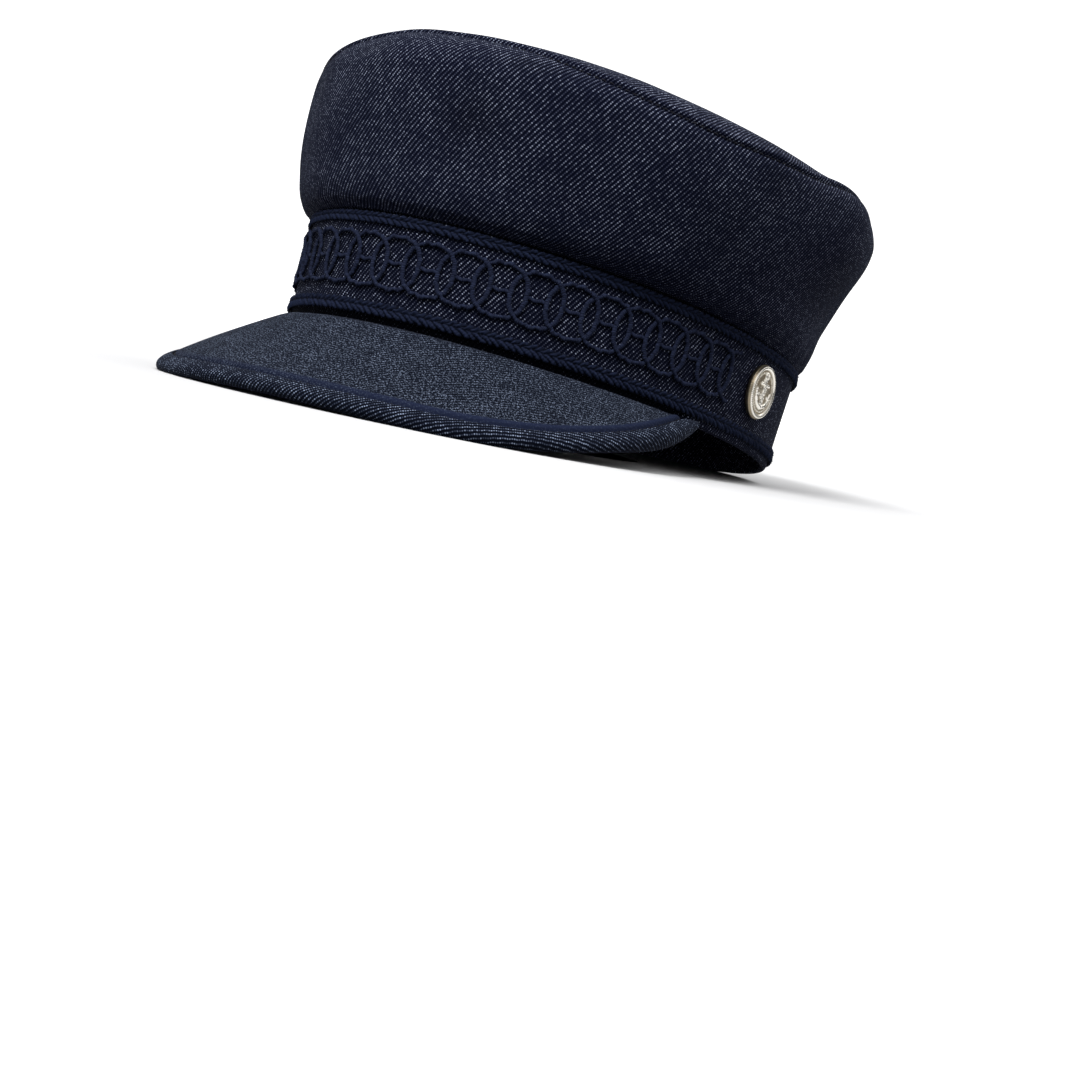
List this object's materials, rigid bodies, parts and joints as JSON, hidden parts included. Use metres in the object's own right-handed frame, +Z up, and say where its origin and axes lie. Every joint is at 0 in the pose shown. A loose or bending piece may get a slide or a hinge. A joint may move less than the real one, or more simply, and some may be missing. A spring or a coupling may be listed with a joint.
{
  "type": "sailor cap",
  "caption": "Soft sailor cap: a puffed denim crown, a band trimmed with cord rings and braids, a stiff sloping peak and round metal side buttons, worn on the head.",
  "frame": {"origin": "middle of the foot of the cap's bounding box, on the surface it stands on", "axes": "+Z up from that surface, -Y towards the front of the peak, +X towards the wearer's left; the cap stands tipped back a little on the peak's two corners and the rear of its rim"},
  "size_m": [0.2094, 0.274, 0.1314],
  "materials": {
    "denim": "dark indigo denim twill, matt",
    "peak_denim": "dark indigo denim, heathered, matt",
    "navy_cord": "navy twisted cord, matt",
    "button_metal": "polished silver-coloured metal"
  },
  "bodies": {
    "root": {"crown_side": "denim", "crown_top": "denim", "band": "denim", "peak": "peak_denim", "upper_braid": "navy_cord", "lower_braid": "navy_cord", "ring_chain": "navy_cord", "button_left": "button_metal", "button_right": "button_metal"}
  },
  "joints": []
}
